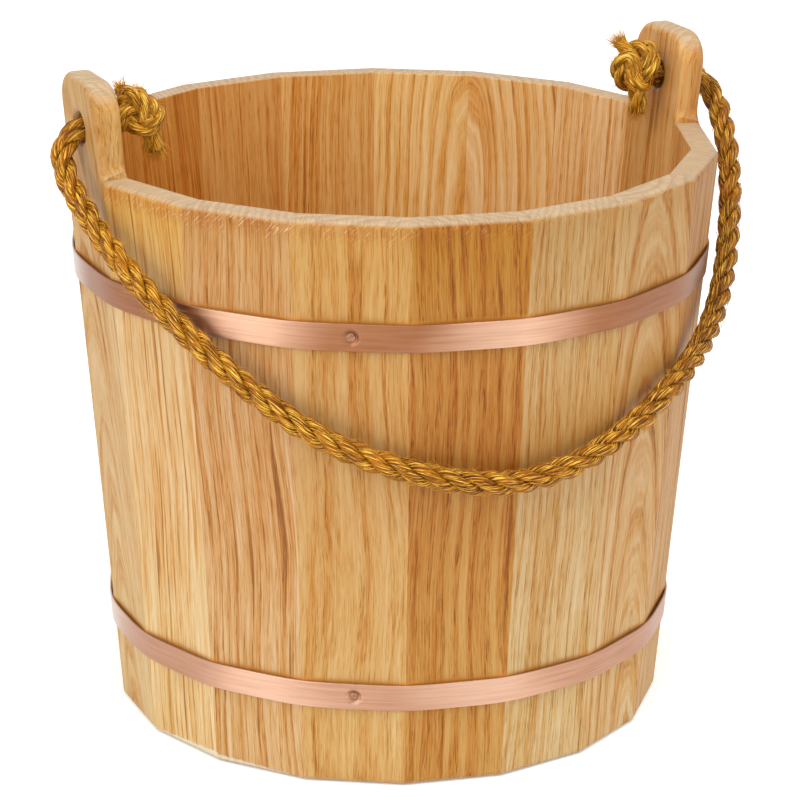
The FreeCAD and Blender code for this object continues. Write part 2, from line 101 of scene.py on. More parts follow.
# Camera, at the photograph's viewing angle
def add_camera():
    place = Vector((-0.5745, -1.3150, 0.6233))
    heading = math.radians(66.19)
    pitch = math.radians(-18.567)
    roll = 0.00795
    focal_pixels = 3160.4
    image_pixels = 800
    forward = Vector((
        math.cos(heading) * math.cos(pitch),
        math.sin(heading) * math.cos(pitch),
        math.sin(pitch),
    ))
    level_right = forward.cross(Vector((0, 0, 1))).normalized()
    level_up = level_right.cross(forward)
    right = math.cos(roll) * level_right + math.sin(roll) * level_up
    up = -math.sin(roll) * level_right + math.cos(roll) * level_up
    data = bpy.data.cameras.new("camera")
    data.sensor_width = 36
    data.lens = data.sensor_width * focal_pixels / image_pixels
    data.clip_end = 20
    camera = bpy.data.objects.new("camera", data)
    camera.matrix_world = Matrix.Translation(place) @ Matrix((right, up, -forward)).transposed().to_4x4()
    scene.collection.objects.link(camera)
    scene.camera = camera


# Floor, world and lamps
FLOOR_SIZE = 6
FLOOR_DROP = 0.0002
FLOOR_GLOW = 0.3
WHITE = (1, 1, 1, 1)
AMBIENT_STRENGTH = 0.7
BACKGROUND_STRENGTH = 1.0


def seen_directly(tree):
    """1 for rays from the camera, mirrors and glass, which see a white background, and 0 for the others."""
    path = tree.nodes.new("ShaderNodeLightPath")
    result = path.outputs["Is Camera Ray"]
    for kind in ("Is Glossy Ray", "Is Transmission Ray"):
        either = tree.nodes.new("ShaderNodeMath")
        either.operation = "MAXIMUM"
        tree.links.new(result, either.inputs[0])
        tree.links.new(path.outputs[kind], either.inputs[1])
        result = either.outputs[0]
    return result


def add_stage():
    bpy.ops.mesh.primitive_plane_add(size=FLOOR_SIZE, location=(0, 0, -FLOOR_DROP))
    floor = bpy.context.object
    floor.name = "floor"
    n = Nodes("floor")
    n.set("Base Color", (0.97, 0.97, 0.97, 1))
    n.set("Roughness", 0.9)
    n.set("Specular IOR Level", 0.1)
    n.set("Emission Color", WHITE)
    n.set("Emission Strength", n.times(seen_directly(n.tree), FLOOR_GLOW))
    floor.data.materials.append(n.material)

    world = bpy.data.worlds.new("studio")
    scene.world = world
    world.use_nodes = True
    tree = world.node_tree
    background = tree.nodes["Background"]
    background.inputs["Color"].default_value = WHITE
    strength = tree.nodes.new("ShaderNodeMapRange")
    strength.inputs["To Min"].default_value = AMBIENT_STRENGTH
    strength.inputs["To Max"].default_value = BACKGROUND_STRENGTH
    tree.links.new(seen_directly(tree), strength.inputs["Value"])
    tree.links.new(strength.outputs[0], background.inputs["Strength"])


def add_lamp(name, place, target, size, power):
    data = bpy.data.lights.new(name, "AREA")
    data.shape = "SQUARE"
    data.size = size
    data.energy = power
    lamp = bpy.data.objects.new(name, data)
    lamp.location = place
    lamp.rotation_euler = (Vector(target) - Vector(place)).to_track_quat("-Z", "Y").to_euler()
    scene.collection.objects.link(lamp)


def add_lamps():
    middle = (0, 0, 0.16)
    add_lamp("key", (-1.75, -1.1, 1.6), middle, size=1.2, power=17)
    add_lamp("side", (-1.7, -0.5, 0.2), middle, size=0.6, power=4)
    add_lamp("fill", (1.2, -1.9, 0.6), middle, size=1.2, power=6)
    add_lamp("top", (-0.1, -0.7, 2.1), middle, size=1.4, power=24)


# Node helpers
class Nodes:
    """Short calls that add nodes to a material and link them."""

    def __init__(self, name):
        self.material = bpy.data.materials.new(name)
        self.material.use_nodes = True
        self.tree = self.material.node_tree
        self.shader = self.tree.nodes["Principled BSDF"]

    def add(self, kind, inputs=(), **settings):
        node = self.tree.nodes.new(kind)
        for key, setting in settings.items():
            setattr(node, key, setting)
        for key, source in dict(inputs).items():
            self.feed(source, node.inputs[key])
        return node

    def set(self, name, source):
        """Sets one of the shader's own sockets to a value, or feeds it from another node."""
        self.feed(source, self.shader.inputs[name])

    def place(self):
        return self.add("ShaderNodeTexCoord").outputs["Object"]

    def uv(self):
        return self.add("ShaderNodeUVMap", uv_map=UV_NAME).outputs["UV"]

    def feed(self, source, socket):
        if isinstance(source, bpy.types.NodeSocket):
            self.tree.links.new(source, socket)
        elif source is not None:
            socket.default_value = source

    def math(self, operation, first, second=None):
        return self.add("ShaderNodeMath", {0: first, 1: second}, operation=operation).outputs[0]

    def plus(self, first, second):
        return self.math("ADD", first, second)

    def minus(self, first, second):
        return self.math("SUBTRACT", first, second)

    def times(self, first, second):
        return self.math("MULTIPLY", first, second)

    def over(self, first, second):
        return self.math("DIVIDE", first, second)

    def weighed(self, first, *parts):
        """First value and each other one multiplied by its weight, added up."""
        for part, weight in parts:
            first = self.plus(first, self.times(part, weight))
        return first

    def split(self, vector):
        """The three coordinates of a vector."""
        return self.add("ShaderNodeSeparateXYZ", {"Vector": vector}).outputs

    def joined(self, *parts):
        """Vector of two or three coordinates."""
        return self.add("ShaderNodeCombineXYZ", dict(enumerate(parts))).outputs[0]

    def scaled(self, vector, factors):
        """Vector with each coordinate multiplied by its own factor."""
        node = self.add("ShaderNodeVectorMath", {0: vector, 1: factors}, operation="MULTIPLY")
        return node.outputs["Vector"]

    def shifted(self, vector, offset):
        node = self.add("ShaderNodeVectorMath", {0: vector, 1: offset}, operation="ADD")
        return node.outputs["Vector"]

    def turned(self, vector, rotation):
        node = self.add("ShaderNodeMapping", {"Vector": vector, "Rotation": rotation})
        return node.outputs["Vector"]

    def noise(self, vector, scale, detail=2.0, roughness=0.5):
        node = self.add(
            "ShaderNodeTexNoise",
            {"Vector": vector, "Scale": scale, "Detail": detail, "Roughness": roughness},
        )
        return node.outputs["Fac"]

    def pattern(self, vector, grain, detail=2.0, roughness=0.5):
        """Noise from 0 to 1 with its own grain in each coordinate, in turns of the pattern in one unit."""
        return self.noise(self.scaled(vector, grain), 1.0, detail, roughness)

    def swing(self, vector, grain, detail=2.0, roughness=0.5):
        """The same from -0.5 to 0.5."""
        return self.minus(self.pattern(vector, grain, detail, roughness), 0.5)

    def ramp(self, value, low, high, **settings):
        """Value brought from the range low to high to 0 to 1, without leaving it."""
        inputs = {"Value": value, "From Min": low, "From Max": high}
        return self.add("ShaderNodeMapRange", inputs, **settings).outputs["Result"]

    def near(self, value, place, reach, core):
        """1 within the core of a place, falling smoothly to 0 at its reach."""
        off = self.math("ABSOLUTE", self.minus(value, place))
        return self.ramp(off, reach, core, interpolation_type="SMOOTHSTEP")

    def mix(self, share, first, second, blend="MIX"):
        node = self.add("ShaderNodeMix", data_type="RGBA", blend_type=blend)
        self.feed(share, node.inputs["Factor"])
        self.feed(colour(first), node.inputs["A"])
        self.feed(colour(second), node.inputs["B"])
        return node.outputs["Result"]

    def tinted(self, tone, share, tint):
        """Tone that is multiplied by a tint, as far as the share says."""
        return self.mix(share, tone, self.mix(1.0, tone, tint, "MULTIPLY"))

    def bump(self, height, distance, strength=1.0):
        node = self.add("ShaderNodeBump", {"Height": height, "Distance": distance, "Strength": strength})
        return node.outputs["Normal"]


def colour(value):
    """Three numbers as a colour with full cover, and sockets as they are."""
    if isinstance(value, tuple) and len(value) == 3:
        return (*value, 1.0)
    return value


# Oak
EDGE_BEVEL = 0.35 * MM
WELD_DISTANCE = 0.00001

# Sizes in the nodes of the oak, in millimetres: where a board's outer face and its middle lie, its width at
# the foot, how far the pith sways and the rings ripple and shiver, and how far apart two boards' patterns are
PER_MM = (1 / MM, 1 / MM, 1 / MM)
OUTER_FACE = (RIM_RADIUS - SPLAY) * math.cos(PITCH / 2) * math.cos(FACE_LEAN) / MM
HALF_THICKNESS = 6.3
FOOT_WIDTH = 45.0
SWAY = 16.0
RIPPLE = 1.8
SHIVER = 1.1
BOARD_STEP = 613.0

# Heights in millimetres between which the wood changes: over the ground, then over the line of the rope,
# over a hoop's upper edge and under the limit of the scuff
RIM_SHADE = (205.0, 262.0)
FOOT_SHADE = (20.0, 130.0)
RIM_EDGE = (259.0, 265.0)
RIM_EDGE_END = (272.0, 275.0)
CONTACT_SHADOW_TOP = (1.3, 0.8)
ROPE_SHADOW_TOP = (66.0, 4.0)
ROPE_SHADOW_FOOT = (-6.0, 2.0)
HOOP_GAP_SHADE_TOP = (2.4, 0.2)
HOOP_GAP_SHADE_FOOT = (-3.0, -2.0)
SCUFF_TOP = (-0.3, 0.5)

# Colours: the tints and the rope's painted shadow multiply the wood, and the others lie over it
# Painted light on the inner faces, and painted shade on those of the shaded boards
PAINTED_INNER_LIGHT = (1.15, 1.13, 1.0)
PAINTED_INNER_SHADE = (1.05, 0.84, 0.42)
RIM_TINT = (0.86, 0.79, 0.64)
EDGE_TINT = (0.90, 0.76, 0.58)
FOOT_TINT = (1.09, 1.20, 1.29)
# Painted shadow of the rope on the wood above its line
ROPE_SHADOW_TINT = (0.84, 0.66, 0.34)
END_PALE = (0.55, 0.405, 0.25)
END_DARK = (0.39, 0.255, 0.14)
SLIVER = (0.93, 0.66, 0.42)
# Painted shade and copper reflection in the gap above each hoop
HOOP_GAP_SHADE_COLOUR = (0.58, 0.22, 0.03)
SCUFF = (0.68, 0.65, 0.51)
# Painted contact shadow where the foot meets the ground
CONTACT_SHADOW = (0.07, 0.07, 0.04)
FLOOR_TONE = (0.52, 0.27, 0.09)

# Shades of one board, from its pores to its lightest fibres: level, then factors of the board's tone
WOOD_SHADES = (
    (0.05, (0.46, 0.29, 0.16)),
    (0.32, (0.88, 0.64, 0.32)),
    (0.60, (1.0, 1.0, 1.0)),
    (0.95, (1.12, 1.28, 1.75)),
)
WOOD_SPECULAR = 0.22
WOOD_RELIEF = 0.00025
WOOD_RELIEF_STRENGTH = 0.6

# Grains of the patterns, in turns in a millimetre: twice across the fibres, then along them
SWAY_GRAIN = (0.007, 0.007, 0.006)
RIPPLE_GRAIN = (0.11, 0.11, 0.009)
SHIVER_GRAIN = (0.22, 0.22, 0.032)
CLOUD_GRAIN = (0.04, 0.04, 0.006)
BROAD_GRAIN = (0.20, 0.20, 0.0034)
FIBRE_GRAIN = (1.35, 1.35, 0.024)
LINE_GRAIN = (0.62, 0.62, 0.011)
PORE_GRAIN = (3.2, 3.2, 0.11)
SCUFF_GRAIN = (0.3, 0.5, 0.5)
RAY_GRAIN = (0.10, 1.3, 0.2)

# The curve of the rope's height: the directions it ends at, in degrees, and the height of its value 1
EAR_DEGREES = 88
CURVE_TOP = 300.0


class Board(Nodes):
    """Nodes for a leaning board whose outer face looks in the given direction.

    depth, across and along are the place in the board, right the place in the bucket, in metres, and
    height is over the ground. own is a place that no other board shares, and outside is 1 on the outer
    face and 0 on the inner one.
    """

    def __init__(self, name, direction, seed):
        super().__init__(name)
        self.seed = seed
        self.spot = self.place()
        board = self.turned(self.turned(self.spot, (0, 0, -direction)), (0, -FACE_LEAN, 0))
        board = self.scaled(board, PER_MM)
        self.depth, self.across, self.along = self.split(board)
        self.right, _, rise = self.split(self.spot)
        self.height = self.over(rise, MM)
        self.own = self.shifted(board, (0.0, 0.0, BOARD_STEP * (seed + 1)))
        self.inside = self.ramp(self.minus(OUTER_FACE - HALF_THICKNESS, self.depth), -5.5, 5.5)
        self.outside = self.minus(1.0, self.inside)


def growth_rings(n, pith, ring, slant, taper, bow):
    """Distance sideways from the pith, distance from it, and 1 in the early wood of each year."""
    past_middle = n.minus(n.height, 0.5 * RIM_HEIGHT / MM)
    hundreds = n.over(past_middle, 100.0)
    sway = n.swing(n.own, SWAY_GRAIN, 1.0)
    sideways = n.weighed(n.minus(n.across, float(pith[0])), (past_middle, slant), (sway, SWAY))
    bend = n.times(hundreds, hundreds)
    deep = n.weighed(n.minus(n.depth, OUTER_FACE - pith[1]), (past_middle, taper), (bend, bow))
    squares = n.plus(n.times(sideways, sideways), n.times(deep, deep))
    ripple = n.times(n.pattern(n.own, RIPPLE_GRAIN), RIPPLE)
    shiver = n.times(n.pattern(n.own, SHIVER_GRAIN), SHIVER)
    radius = n.plus(n.math("SQRT", squares), n.plus(ripple, shiver))
    year = n.math("FRACT", n.over(radius, ring))
    early = n.times(n.ramp(year, 0.0, 0.10), n.minus(1.0, n.ramp(year, 0.2, 0.7)))
    return sideways, radius, early


def grain(n, sideways, radius, early, bands, streaks, lines, dashes):
    """Lightness of the wood, and its fibres and pores.

    It has streaks of fibre, from broad to fine, long dark lines, and the short dark pores of the early wood.
    """
    lengthways = n.plus(n.along, BOARD_STEP * (n.seed + 1))
    swaying = n.joined(n.depth, sideways, lengthways)
    ringed = n.joined(radius, n.times(n.depth, 0.2), lengthways)
    cloud = n.swing(n.own, CLOUD_GRAIN)
    broad = n.swing(ringed, BROAD_GRAIN, 3.0, 0.60)
    fibre = n.swing(ringed, FIBRE_GRAIN, 3.0, 0.68)
    line = n.ramp(n.pattern(ringed, LINE_GRAIN, 1.0), 0.565, 0.66)
    pore = n.ramp(n.pattern(swaying, PORE_GRAIN, 1.0), 0.56, 0.65)
    pore = n.times(pore, n.weighed(0.6, (early, 0.4)))
    level = n.weighed(
        0.64,
        (cloud, 0.30),
        (broad, 0.95 * streaks),
        (fibre, 1.1 * streaks),
        (early, -0.34 * bands),
        (line, -0.34 * lines),
        (pore, -0.60 * dashes),
    )
    return level, fibre, pore


def shaded(n, level, tone):
    """The shades of one tone, from dark to light over the level."""
    node = n.add("ShaderNodeValToRGB", {"Fac": level})
    stops = node.color_ramp.elements
    stops.remove(stops[1])
    for number, (position, factors) in enumerate(WOOD_SHADES):
        stop = stops.new(position) if number else stops[0]
        stop.position = position
        stop.color = colour(tuple(min(1.0, part * factor) for part, factor in zip(tone, factors)))
    return node.outputs["Color"]


def rope_height(n):
    """Height of the rope's line over the place's direction from the bucket's axis."""
    x, y, _ = n.split(n.spot)
    direction = n.math("ARCTAN2", x, n.times(y, -1.0))
    curve = n.add("ShaderNodeFloatCurve", {"Value": n.ramp(direction, -math.pi / 2, math.pi / 2)})
    points = curve.mapping.curves[0].points
    run = [
        (0.5 + degrees / 180, height / CURVE_TOP)
        for degrees, _, height in ROPE_ROUTE
        if abs(degrees) < EAR_DEGREES
    ]
    points[0].location = (0.0, run[0][1])
    points[1].location = (1.0, run[-1][1])
    for spot in run:
        points.new(*spot)
    curve.mapping.update()
    return n.times(curve.outputs["Value"], CURVE_TOP)


def used(n, wood, inner, rim, rub):
    """The wood as its place in the bucket and its use have left it, with light and shade painted on it."""
    # Painted light makes the inner face lighter and more orange, and on the shaded boards painted shade
    # darkens it. The outside darkens towards the rim and pales towards the foot
    wood = n.tinted(wood, n.inside, inner)
    wood = n.tinted(wood, n.times(n.ramp(n.height, *RIM_SHADE), n.outside), rim)
    near_foot = n.times(n.minus(1.0, n.ramp(n.height, *FOOT_SHADE)), n.outside)
    wood = n.tinted(wood, near_foot, FOOT_TINT)

    # A painted shadow of the rope darkens the wood above the rope's line, most of all at the right
    above = n.minus(n.height, rope_height(n))
    rope_shadow = n.times(n.ramp(above, *ROPE_SHADOW_TOP), n.ramp(above, *ROPE_SHADOW_FOOT))
    rope_shadow = n.times(rope_shadow, n.ramp(n.right, -0.08, 0.01))
    wood = n.tinted(wood, n.times(rope_shadow, n.outside), ROPE_SHADOW_TINT)

    # Painted shade, warmed by a painted copper reflection, on the wood in the gap above each hoop
    for middle in HOOPS.values():
        top = (middle + HOOP_WIDTH / 2) / MM
        upper, lower = ([top + level for level in limits] for limits in (HOOP_GAP_SHADE_TOP, HOOP_GAP_SHADE_FOOT))
        hoop_gap_shade = n.times(n.ramp(n.height, *upper), n.ramp(n.height, *lower))
        wood = n.mix(n.times(n.times(hoop_gap_shade, n.outside), 0.75), wood, HOOP_GAP_SHADE_COLOUR)

    # The foot is scuffed up to an uneven limit, and a thin painted contact shadow lines it at the ground
    if rub:
        uneven = n.swing(n.own, SCUFF_GRAIN, 3.0, 0.7)
        limit = n.weighed(sum(rub) / 2, (n.across, (rub[1] - rub[0]) / FOOT_WIDTH), (uneven, 3.0))
        scuffed = n.ramp(n.minus(limit, n.height), *SCUFF_TOP)
        wood = n.mix(n.times(n.times(scuffed, n.outside), 0.85), wood, SCUFF)
    return n.mix(n.times(n.ramp(n.height, *CONTACT_SHADOW_TOP), 0.95), wood, CONTACT_SHADOW)


def torn(n, wood, slivers):
    """The wood with slivers torn up by the plane, slanting over the rim's darker outer edge."""
    rising = n.times(n.plus(n.across, n.along), 0.13)
    falling = n.times(n.minus(n.across, n.along), 1.1)
    slanting = n.joined(rising, falling, float(n.seed))
    sliver = n.ramp(n.noise(slanting, 1.0, 1.0, 0.6), 0.60, 0.68)
    edge = n.times(n.ramp(n.height, *RIM_EDGE), n.outside)
    edge = n.times(edge, n.minus(1.0, n.ramp(n.height, *RIM_EDGE_END)))
    wood = n.tinted(wood, n.times(edge, slivers), EDGE_TINT)
    return n.mix(n.times(n.times(sliver, edge), 0.42 * slivers), wood, SLIVER)


def sawn(n, wood, early):
    """The wood with its sawn ends paler and greyer, and the rays and the years across them."""
    normal = n.add("ShaderNodeNewGeometry").outputs["Normal"]
    facing_up = n.math("ABSOLUTE", n.split(normal)["Z"])
    rays = n.pattern(n.own, RAY_GRAIN, 2.0, 0.6)
    end_wood = n.mix(n.ramp(rays, 0.30, 0.55), END_DARK, END_PALE)
    end_wood = n.mix(n.times(early, 0.45), end_wood, END_DARK)
    return n.mix(n.times(n.ramp(facing_up, 0.35, 0.8), 0.88), wood, end_wood)


def oak(
    name,
    direction,
    seed,
    tone,
    inner=PAINTED_INNER_LIGHT,
    rim=RIM_TINT,
    pith=(80, 50),
    ring=3.0,
    bands=0.4,
    streaks=1.0,
    lines=0.6,
    dashes=0.5,
    slant=0.0,
    taper=0.0,
    bow=0.0,
    slivers=1.0,
    rub=None,
):
    """Oiled oak for a leaning board whose outer face looks in the given direction.

    seed sets its pattern apart. tone is its colour; inner tints its inner face with painted light and
    shade, and rim tints its outer one near the rim. pith is where the tree's centre lies, across the board
    and behind its outer face, in millimetres; ring is the width of a year's growth; bands, streaks, lines
    and dashes are how strongly the years, the fibres, the long dark lines and the pores show; slant and
    taper are how far the pith runs off along the board, sideways and in depth, and bow is how far it bends
    away in depth 100 mm from the middle. slivers is how strongly the rim's torn fibres show, and rub is
    how high the pale scuff at the foot goes at the board's two edges, in millimetres.
    """
    n = Board(name, direction, seed)
    sideways, radius, early = growth_rings(n, pith, ring, slant, taper, bow)
    level, fibre, pore = grain(n, sideways, radius, early, bands, streaks, lines, dashes)
    wood = shaded(n, level, tone)
    wood = used(n, wood, inner, rim, rub)
    wood = torn(n, wood, slivers)
    wood = sawn(n, wood, early)
    n.set("Base Color", wood)
    n.set("Roughness", n.weighed(0.64, (level, -0.18)))
    n.set("Specular IOR Level", WOOD_SPECULAR)
    n.set("Normal", n.bump(n.weighed(fibre, (pore, -0.8)), WOOD_RELIEF, WOOD_RELIEF_STRENGTH))
    return n.material


# Boards from the right ear round the back, the left side and the front
# The inner tints are painted light and shade on the boards' inner faces
BOARDS = {
    "ear_stave_right": dict(tone=(0.54, 0.295, 0.10), pith=(70, 60), ring=4.5, streaks=0.9, slivers=0.0),
    "stave_01": dict(tone=(0.67, 0.42, 0.20), pith=(-80, 60), ring=3.5, streaks=1.1),
    "stave_02": dict(
        tone=(0.662, 0.422, 0.196), pith=(27, 36), ring=4.6, taper=-0.18, bow=14.0,
        bands=0.8, lines=0.25, dashes=0.3,
    ),
    "stave_03": dict(
        tone=(0.662, 0.422, 0.176), pith=(-26, 34), ring=4.4, taper=-0.16, bow=12.0,
        bands=0.7, lines=0.25, dashes=0.3,
    ),
    "stave_04": dict(tone=(0.564, 0.294, 0.089), pith=(70, 40), ring=3.2, bands=0.5, streaks=1.1),
    "stave_05": dict(
        tone=(0.558, 0.291, 0.094), inner=(1.08, 0.95, 0.68), pith=(-60, 40), ring=3.6, streaks=1.2,
    ),
    "stave_06": dict(
        tone=(0.534, 0.276, 0.09), inner=PAINTED_INNER_SHADE, pith=(-90, 60), bands=0.5, streaks=1.2,
    ),
    "stave_07": dict(
        tone=(0.534, 0.273, 0.086), inner=PAINTED_INNER_SHADE, pith=(75, 45), ring=2.8, streaks=1.2,
    ),
    "stave_08": dict(tone=(0.515, 0.255, 0.074), inner=PAINTED_INNER_SHADE, pith=(-70, 70), streaks=1.2),
    "ear_stave_left": dict(
        tone=(0.53, 0.325, 0.125), pith=(-10, 34), taper=0.08, slant=0.04,
        bands=0.3, streaks=0.8, slivers=0.0, rub=(0.8, 2.2),
    ),
    "stave_09": dict(
        tone=(0.59, 0.375, 0.16), rim=(0.93, 0.81, 0.41), pith=(-80, 40),
        bands=0.3, lines=1.0, dashes=0.3, rub=(2.4, 4.8),
    ),
    "stave_10": dict(
        tone=(0.51, 0.286, 0.113), rim=(0.89, 0.83, 0.66), pith=(85, 35), ring=3.6,
        bands=0.35, streaks=1.2, lines=0.9, rub=(4.0, 1.3),
    ),
    "stave_11": dict(
        tone=(0.489, 0.265, 0.081), rim=(0.95, 0.94, 0.79), pith=(-60, 110), ring=7.0,
        bands=0.3, lines=0.5, slivers=0.7,
    ),
    "stave_12": dict(
        tone=(0.43, 0.20, 0.042), rim=(0.88, 0.82, 0.35), pith=(65, 60), ring=5.0,
        bands=0.6, streaks=1.1, dashes=0.65, slivers=0.45,
    ),
    "stave_13": dict(
        tone=(0.526, 0.337, 0.144), rim=(0.82, 0.74, 0.58), pith=(-75, 60), ring=3.2,
        bands=0.3, streaks=0.8, dashes=0.6, slivers=0.2,
    ),
    "stave_14": dict(
        tone=(0.552, 0.338, 0.141), rim=(0.83, 0.76, 0.59), pith=(4, 24), ring=5.5, slant=0.08, taper=0.10,
        bands=0.6, slivers=0.2,
    ),
    "stave_15": dict(
        tone=(0.495, 0.273, 0.092), rim=(0.80, 0.72, 0.56), pith=(70, 70), lines=0.8, slivers=0.2,
    ),
    "stave_16": dict(tone=(0.564, 0.304, 0.108), pith=(-60, 60), ring=3.4, bands=0.5, slivers=0.2),
}


def floor_oak(name, number):
    """Planed oak of a floor board, its grain along the board."""
    n = Nodes(name)
    own = n.shifted(n.scaled(n.place(), PER_MM), (331.0 * number, 57.0 * number, 0.0))
    broad = n.swing(own, (0.007, 0.30, 0.30), 2.0, 0.6)
    fibre = n.swing(own, (0.022, 1.1, 1.1), 2.0, 0.6)
    pore = n.ramp(n.pattern(own, (0.13, 1.7, 1.7), 1.0), 0.56, 0.7)
    level = n.plus(0.6, n.plus(n.times(broad, 1.2), fibre))
    level = n.weighed(level, (pore, -0.3))
    pale = tuple((0.82 + 0.11 * number) * part for part in FLOOR_TONE)
    dark = tuple(0.5 * part for part in pale)
    n.set("Base Color", n.mix(n.ramp(level, 0.1, 0.8), dark, pale))
    n.set("Roughness", 0.62)
    n.set("Specular IOR Level", WOOD_SPECULAR)
    n.set("Normal", n.bump(fibre, WOOD_RELIEF, WOOD_RELIEF_STRENGTH))
    return n.material


def stave_direction(name):
    """Polar direction that a stave's outer face looks in."""
    if name == "ear_stave_right":
        return 0.0
    if name == "ear_stave_left":
        return math.pi
    number = int(name[-2:])
    return (number if number < STAVES // 2 else number + 1) * PITCH


def dress(node, material):
    node.data.materials.clear()
    node.data.materials.append(material)


def soften_edges(node):
    """Breaks the sharp edges of a board by a small bevel."""
    weld = node.modifiers.new("weld", "WELD")
    weld.merge_threshold = WELD_DISTANCE
    bevel = node.modifiers.new("edge_bevel", "BEVEL")
    bevel.width = EDGE_BEVEL
    bevel.segments = 2
    bevel.limit_method = "ANGLE"
    bevel.angle_limit = math.radians(40)
    bevel.harden_normals = True


def finish_boards():
    for seed, (name, looks) in enumerate(BOARDS.items()):
        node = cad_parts[name]
        dress(node, oak(f"oak_{name}", stave_direction(name), seed, **looks))
        soften_edges(node)
    for number in range(1, 4):
        name = f"floor_board_{number}"
        dress(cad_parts[name], floor_oak(f"oak_{name}", number))


# Copper. Places along a strap are in metres, and its grains in turns in a metre along it and across it.
BRUSH_GRAIN = (28.0, 1250.0, 1.0)
WIDE_BRUSH_GRAIN = (14.0, 520.0, 1.0)
BLOTCH_GRAIN = (20.0, 50.0, 1.0)
BRUSH_DARK = (0.35, 0.153, 0.073)
BRUSH_LIGHT = (0.575, 0.292, 0.168)
WIDE_BRUSH = (0.60, 0.34, 0.235)
# Tarnish, and the painted shade of darker reflections away from the highlights
TARNISH_AND_SHADE = (0.25, 0.09, 0.032)
# Painted silvery reflection
SILVER_REFLECTION = (0.72, 0.66, 0.60)
WORN_DARK = (0.20, 0.09, 0.05)
WORN_LIGHT = (0.42, 0.22, 0.13)


def copper(name, base, painted_highlight, painted_highlight_places, silver_reflection_place):
    """Copper-coloured strap, brushed along its length.

    base is how burnished it is all along; tarnish and painted shade darken the rest. Painted highlights lie
    at the highlight places, in their own colour, and a painted silvery reflection at the silver place.
    """
    n = Nodes(name)
    uv = n.uv()
    brush = n.pattern(uv, BRUSH_GRAIN, 2.0, 0.7)
    wide_brush = n.pattern(uv, WIDE_BRUSH_GRAIN)
    around = n.split(uv)["X"]
    burnish_and_highlight = n.weighed(base, (n.swing(uv, BLOTCH_GRAIN), 0.5))
    # Painted highlights at the given places along the strap
    for place in painted_highlight_places:
        burnish_and_highlight = n.weighed(burnish_and_highlight, (n.near(around, place, reach=0.048, core=0.0), 1.0 - base))
    burnish_and_highlight = n.ramp(burnish_and_highlight, 0.0, 1.0)
    tone = n.mix(n.ramp(brush, 0.36, 0.64), BRUSH_DARK, BRUSH_LIGHT)
    tone = n.mix(n.times(n.ramp(wide_brush, 0.4, 0.7), 0.45), tone, WIDE_BRUSH)
    # Tarnish and painted shade away from the highlights, then the painted highlights' own colour
    tone = n.mix(n.times(n.minus(1.0, burnish_and_highlight), 0.72), tone, TARNISH_AND_SHADE)
    tone = n.mix(n.times(burnish_and_highlight, 0.50), tone, painted_highlight)
    # Painted silvery reflection at one place along the strap
    silver_reflection = n.near(around, silver_reflection_place, reach=0.042, core=0.008)
    tone = n.mix(n.times(silver_reflection, 0.65), tone, SILVER_REFLECTION)
    n.set("Base Color", tone)
    n.set("Metallic", 1.0)
    n.set("Roughness", n.weighed(0.32, (brush, 0.14)))
    n.set("Anisotropic", 0.85)
    n.set("Anisotropic Rotation", 0.25)
    n.set("Tangent", n.add("ShaderNodeTangent", direction_type="UV_MAP", uv_map=UV_NAME).outputs["Tangent"])
    n.set("Normal", n.bump(n.plus(brush, wide_brush), 0.00006, 0.7))
    return n.material


def worn_copper(name):
    """Darker, worn copper colour of the tacks and rivets."""
    n = Nodes(name)
    wear = n.noise(n.place(), 900.0, 3.0, 0.6)
    n.set("Base Color", n.mix(n.ramp(wear, 0.35, 0.65), WORN_DARK, WORN_LIGHT))
    n.set("Metallic", 1.0)
    n.set("Roughness", n.weighed(0.36, (wear, 0.2)))
    n.set("Normal", n.bump(wear, 0.0001, 0.5))
    return n.material


# Radius of a strap's edges, the share of the room between two corners that it sinks into, and its dish
# round the tack
STRAP_EDGE = 0.28 * MM
FLATTENING = 0.36
DISH_DEPTH = 1.0 * MM
DISH_FLOOR_RADIUS = 2.3 * MM
DISH_RADIUS = 4.3 * MM
DISH_STEPS = 14
DISH_STEP_DEGREES = 0.16
LAP_STEPS = 7


def corner_radius(height):
    return RIM_RADIUS - CORNER_SLOPE * (RIM_HEIGHT - height)


def strap_place(height, angle, out, across):
    """Point of a strap: out from the staves' corners and across the strap's width, and the way out."""
    radial = Vector((math.cos(angle), math.sin(angle), 0))
    outward = radial * math.cos(CORNER_LEAN) - Vector((0, 0, math.sin(CORNER_LEAN)))
    upward = radial * math.sin(CORNER_LEAN) + Vector((0, 0, math.cos(CORNER_LEAN)))
    middle = radial * corner_radius(height) + Vector((0, 0, height))
    return middle + outward * (HOOP_GAP + out) + upward * across, outward


def sunk(height, angle, across):
    """How far a strap lies in from its circle: flatter between the corners, and dished round its tack."""
    if abs(angle - LAP_ANGLE) < PITCH / 2:
        flat = 0.0
    else:
        room = corner_radius(height) * (1 - math.cos(PITCH / 2))
        flat = FLATTENING * room * (1 + math.cos(STAVES * angle)) / 2
    reach = math.hypot(corner_radius(height) * (angle - TACK_ANGLE), across)
    rise = min(1.0, max(0.0, (reach - DISH_FLOOR_RADIUS) / (DISH_RADIUS - DISH_FLOOR_RADIUS)))
    return flat + DISH_DEPTH * (1 - rise * rise * (3 - 2 * rise))


def strap_section():
    """Outline of a strap's section with rounded edges, as places out and across."""
    half = HOOP_WIDTH / 2 - STRAP_EDGE
    inner, outer = STRAP_EDGE, HOOP_THICKNESS - STRAP_EDGE
    rows = 24
    heights = [half * (2 * row / rows - 1) for row in range(rows + 1)]

    def edge(out, across, *turns):
        return [
            (out + STRAP_EDGE * math.cos(turn), across + STRAP_EDGE * math.sin(turn))
            for turn in map(math.radians, turns)
        ]

    return [
        *[(HOOP_THICKNESS, height) for height in heights],
        *edge(outer, half, 30, 60, 90),
        *edge(inner, half, 90, 120, 150),
        *[(0.0, -height) for height in heights],
        *edge(inner, -half, 210, 240, 270),
        *edge(outer, -half, 270, 300, 330),
    ]


